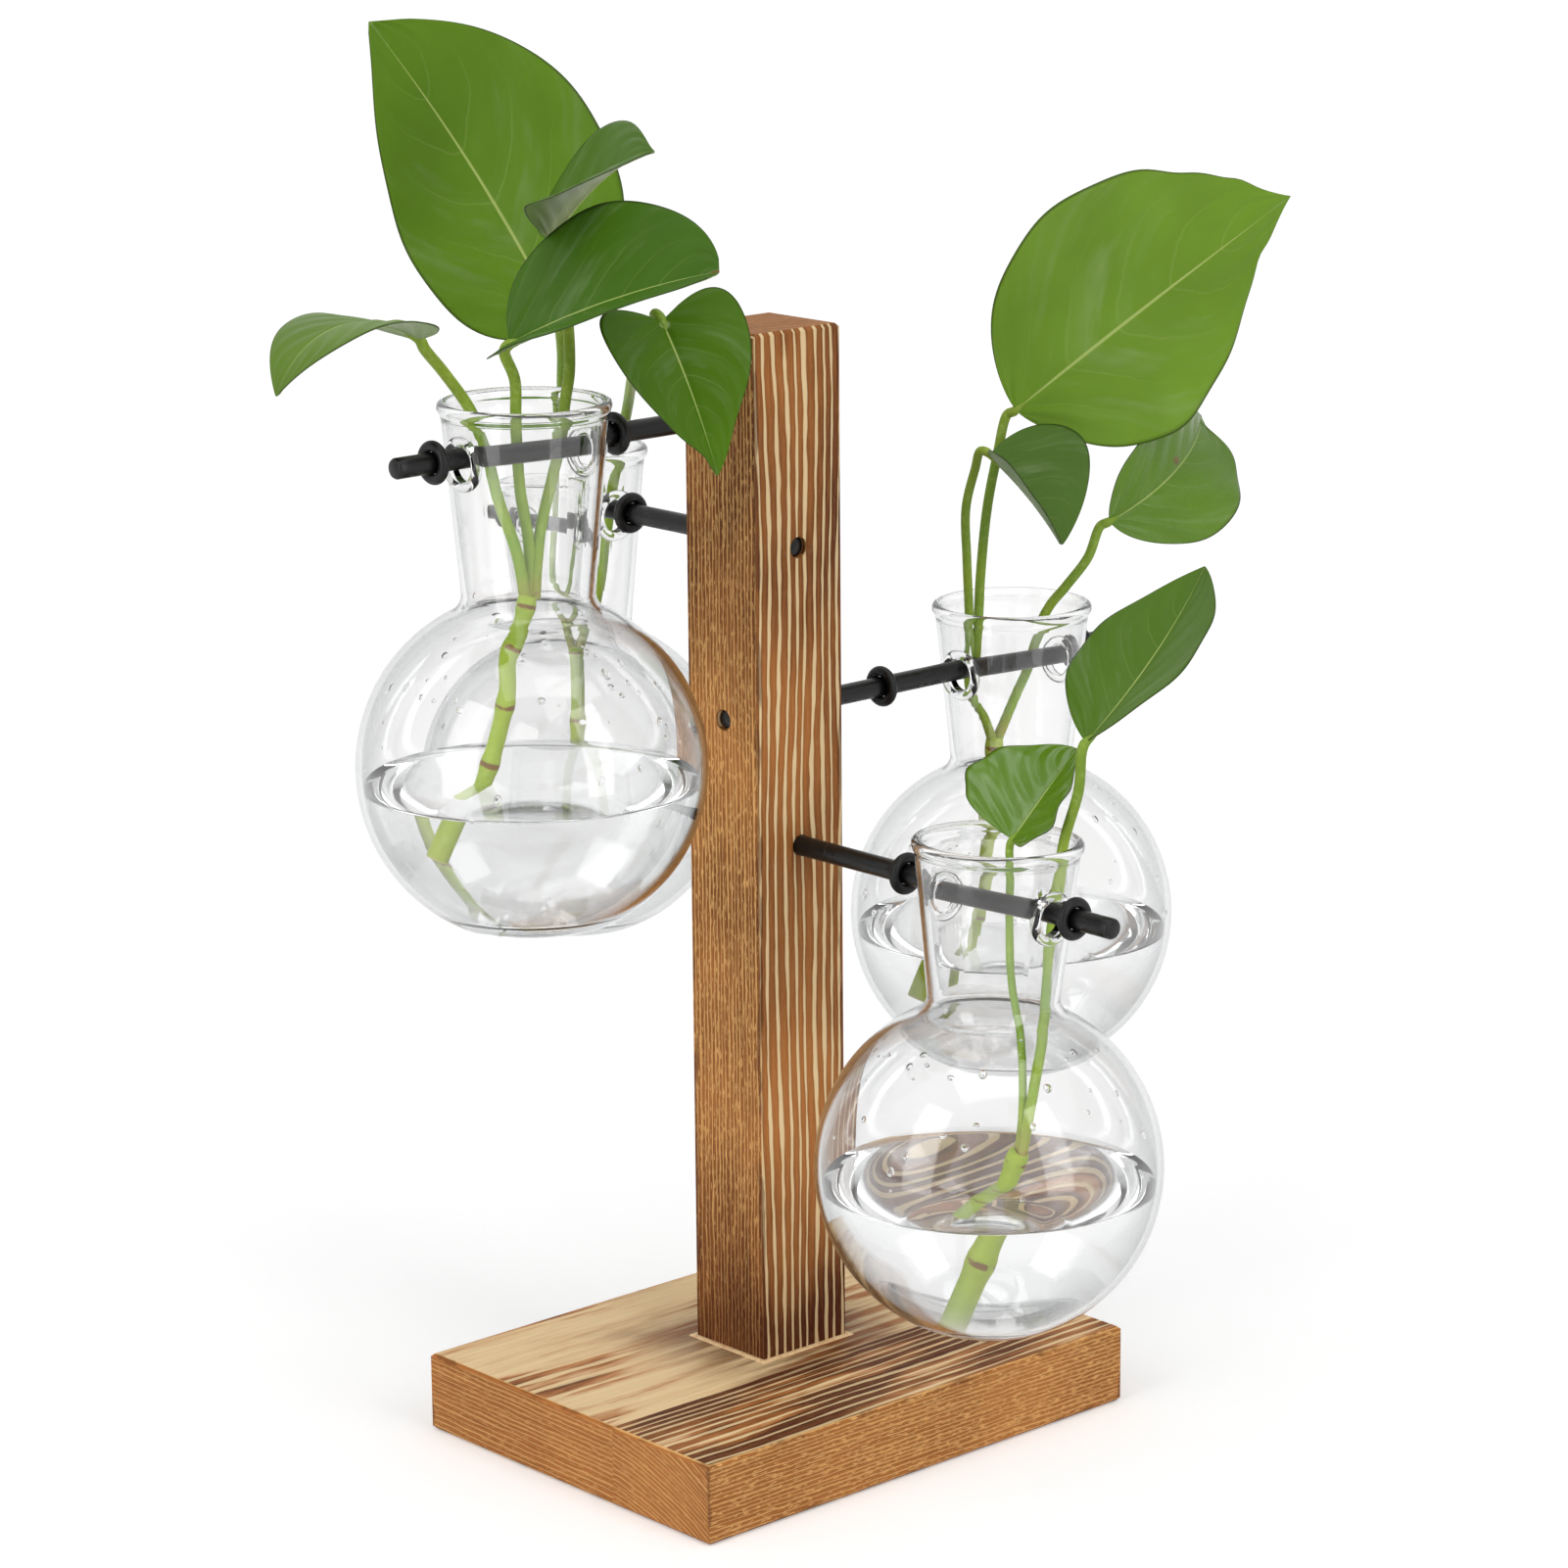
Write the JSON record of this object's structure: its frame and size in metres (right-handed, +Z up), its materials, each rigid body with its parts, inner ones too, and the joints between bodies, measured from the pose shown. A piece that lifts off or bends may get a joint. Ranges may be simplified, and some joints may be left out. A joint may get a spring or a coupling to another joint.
{
  "type": "hydroponic vase",
  "caption": "Torched wooden post on a board, with black rods that carry round glass flasks holding leafy cuttings in water, kept in place by rubber rings.",
  "frame": {"origin": "centre of the board's underside", "axes": "+Z up along the post, +X along the board's long side, to the right of the lower right flask's rod, and +Y to the rear, along the upper rear flask's rod"},
  "size_m": [0.2982, 0.2374, 0.3491],
  "materials": {
    "torched_wood": "scorched and brushed, satin",
    "screw_steel": "zinc plated",
    "black_rod": "satin black",
    "black_rubber": "matte black",
    "clear_glass": "clear, polished",
    "green_stem": "smooth green stalk",
    "green_leaf": "waxy green leaf"
  },
  "bodies": {
    "stand": {"base_front_strip": "torched_wood", "base_rear_strip": "torched_wood", "post": "torched_wood", "left_screw": "screw_steel", "right_screw": "screw_steel", "upper_left_rod": "black_rod", "upper_rear_rod": "black_rod", "lower_right_rod": "black_rod", "lower_front_rod": "black_rod"},
    "upper_left_flask_body": {"upper_left_flask": "clear_glass", "upper_left_stem": "green_stem", "small_leaf": "green_leaf", "left_leaf": "green_leaf", "wide_leaf": "green_leaf"},
    "upper_left_inner_ring_body": {"upper_left_inner_ring": "black_rubber"},
    "upper_left_outer_ring_body": {"upper_left_outer_ring": "black_rubber"},
    "upper_rear_flask_body": {"upper_rear_flask": "clear_glass", "upper_rear_stem": "green_stem", "tall_leaf": "green_leaf", "hanging_leaf": "green_leaf"},
    "upper_rear_inner_ring_body": {"upper_rear_inner_ring": "black_rubber"},
    "upper_rear_outer_ring_body": {"upper_rear_outer_ring": "black_rubber"},
    "lower_right_flask_body": {"lower_right_flask": "clear_glass", "lower_right_stem": "green_stem", "great_leaf": "green_leaf", "folded_leaf": "green_leaf", "right_leaf": "green_leaf"},
    "lower_right_inner_ring_body": {"lower_right_inner_ring": "black_rubber"},
    "lower_right_outer_ring_body": {"lower_right_outer_ring": "black_rubber"},
    "lower_front_flask_body": {"lower_front_flask": "clear_glass", "lower_front_stem": "green_stem", "glossy_leaf": "green_leaf", "front_leaf": "green_leaf"},
    "lower_front_inner_ring_body": {"lower_front_inner_ring": "black_rubber"},
    "lower_front_outer_ring_body": {"lower_front_outer_ring": "black_rubber"}
  },
  "joints": [
    {"name": "upper_left_flask_swing", "type": "hinge", "parent": "stand", "child": "upper_left_flask_body", "pos_m": [-0.07275, 0.0035, 0.256], "axis": [1, 0, 0], "range_deg": [-10, 10]},
    {"name": "upper_left_inner_ring_slide", "type": "slide", "parent": "stand", "child": "upper_left_inner_ring_body", "axis": [-1, 0, 0], "range_m": [-0.0312, 0.0054]},
    {"name": "upper_left_outer_ring_slide", "type": "slide", "parent": "stand", "child": "upper_left_outer_ring_body", "axis": [-1, 0, 0], "range_m": [-0.0054, 0.0094]},
    {"name": "upper_rear_flask_swing", "type": "hinge", "parent": "stand", "child": "upper_rear_flask_body", "pos_m": [0.001, 0.0775, 0.224], "axis": [0, 1, 0], "range_deg": [-10, 10]},
    {"name": "upper_rear_inner_ring_slide", "type": "slide", "parent": "stand", "child": "upper_rear_inner_ring_body", "axis": [0, 1, 0], "range_m": [-0.0353, 0.0031]},
    {"name": "upper_rear_outer_ring_slide", "type": "slide", "parent": "stand", "child": "upper_rear_outer_ring_body", "axis": [0, 1, 0], "range_m": [-0.0071, 0.0091]},
    {"name": "lower_right_flask_swing", "type": "hinge", "parent": "stand", "child": "lower_right_flask_body", "pos_m": [0.08565, 0.0035, 0.1815], "axis": [1, 0, 0], "range_deg": [-10, 10]},
    {"name": "lower_right_inner_ring_slide", "type": "slide", "parent": "stand", "child": "lower_right_inner_ring_body", "axis": [1, 0, 0], "range_m": [-0.0236, 0.0244]},
    {"name": "lower_right_outer_ring_slide", "type": "slide", "parent": "stand", "child": "lower_right_outer_ring_body", "axis": [1, 0, 0], "range_m": [-0.0027, 0.0072]},
    {"name": "lower_front_flask_swing", "type": "hinge", "parent": "stand", "child": "lower_front_flask_body", "pos_m": [0.001, -0.0769, 0.15], "axis": [0, 1, 0], "range_deg": [-10, 10]},
    {"name": "lower_front_inner_ring_slide", "type": "slide", "parent": "stand", "child": "lower_front_inner_ring_body", "axis": [0, -1, 0], "range_m": [-0.0356, 0.0095]},
    {"name": "lower_front_outer_ring_slide", "type": "slide", "parent": "stand", "child": "lower_front_outer_ring_body", "axis": [0, -1, 0], "range_m": [-0.0046, 0.0108]}
  ]
}
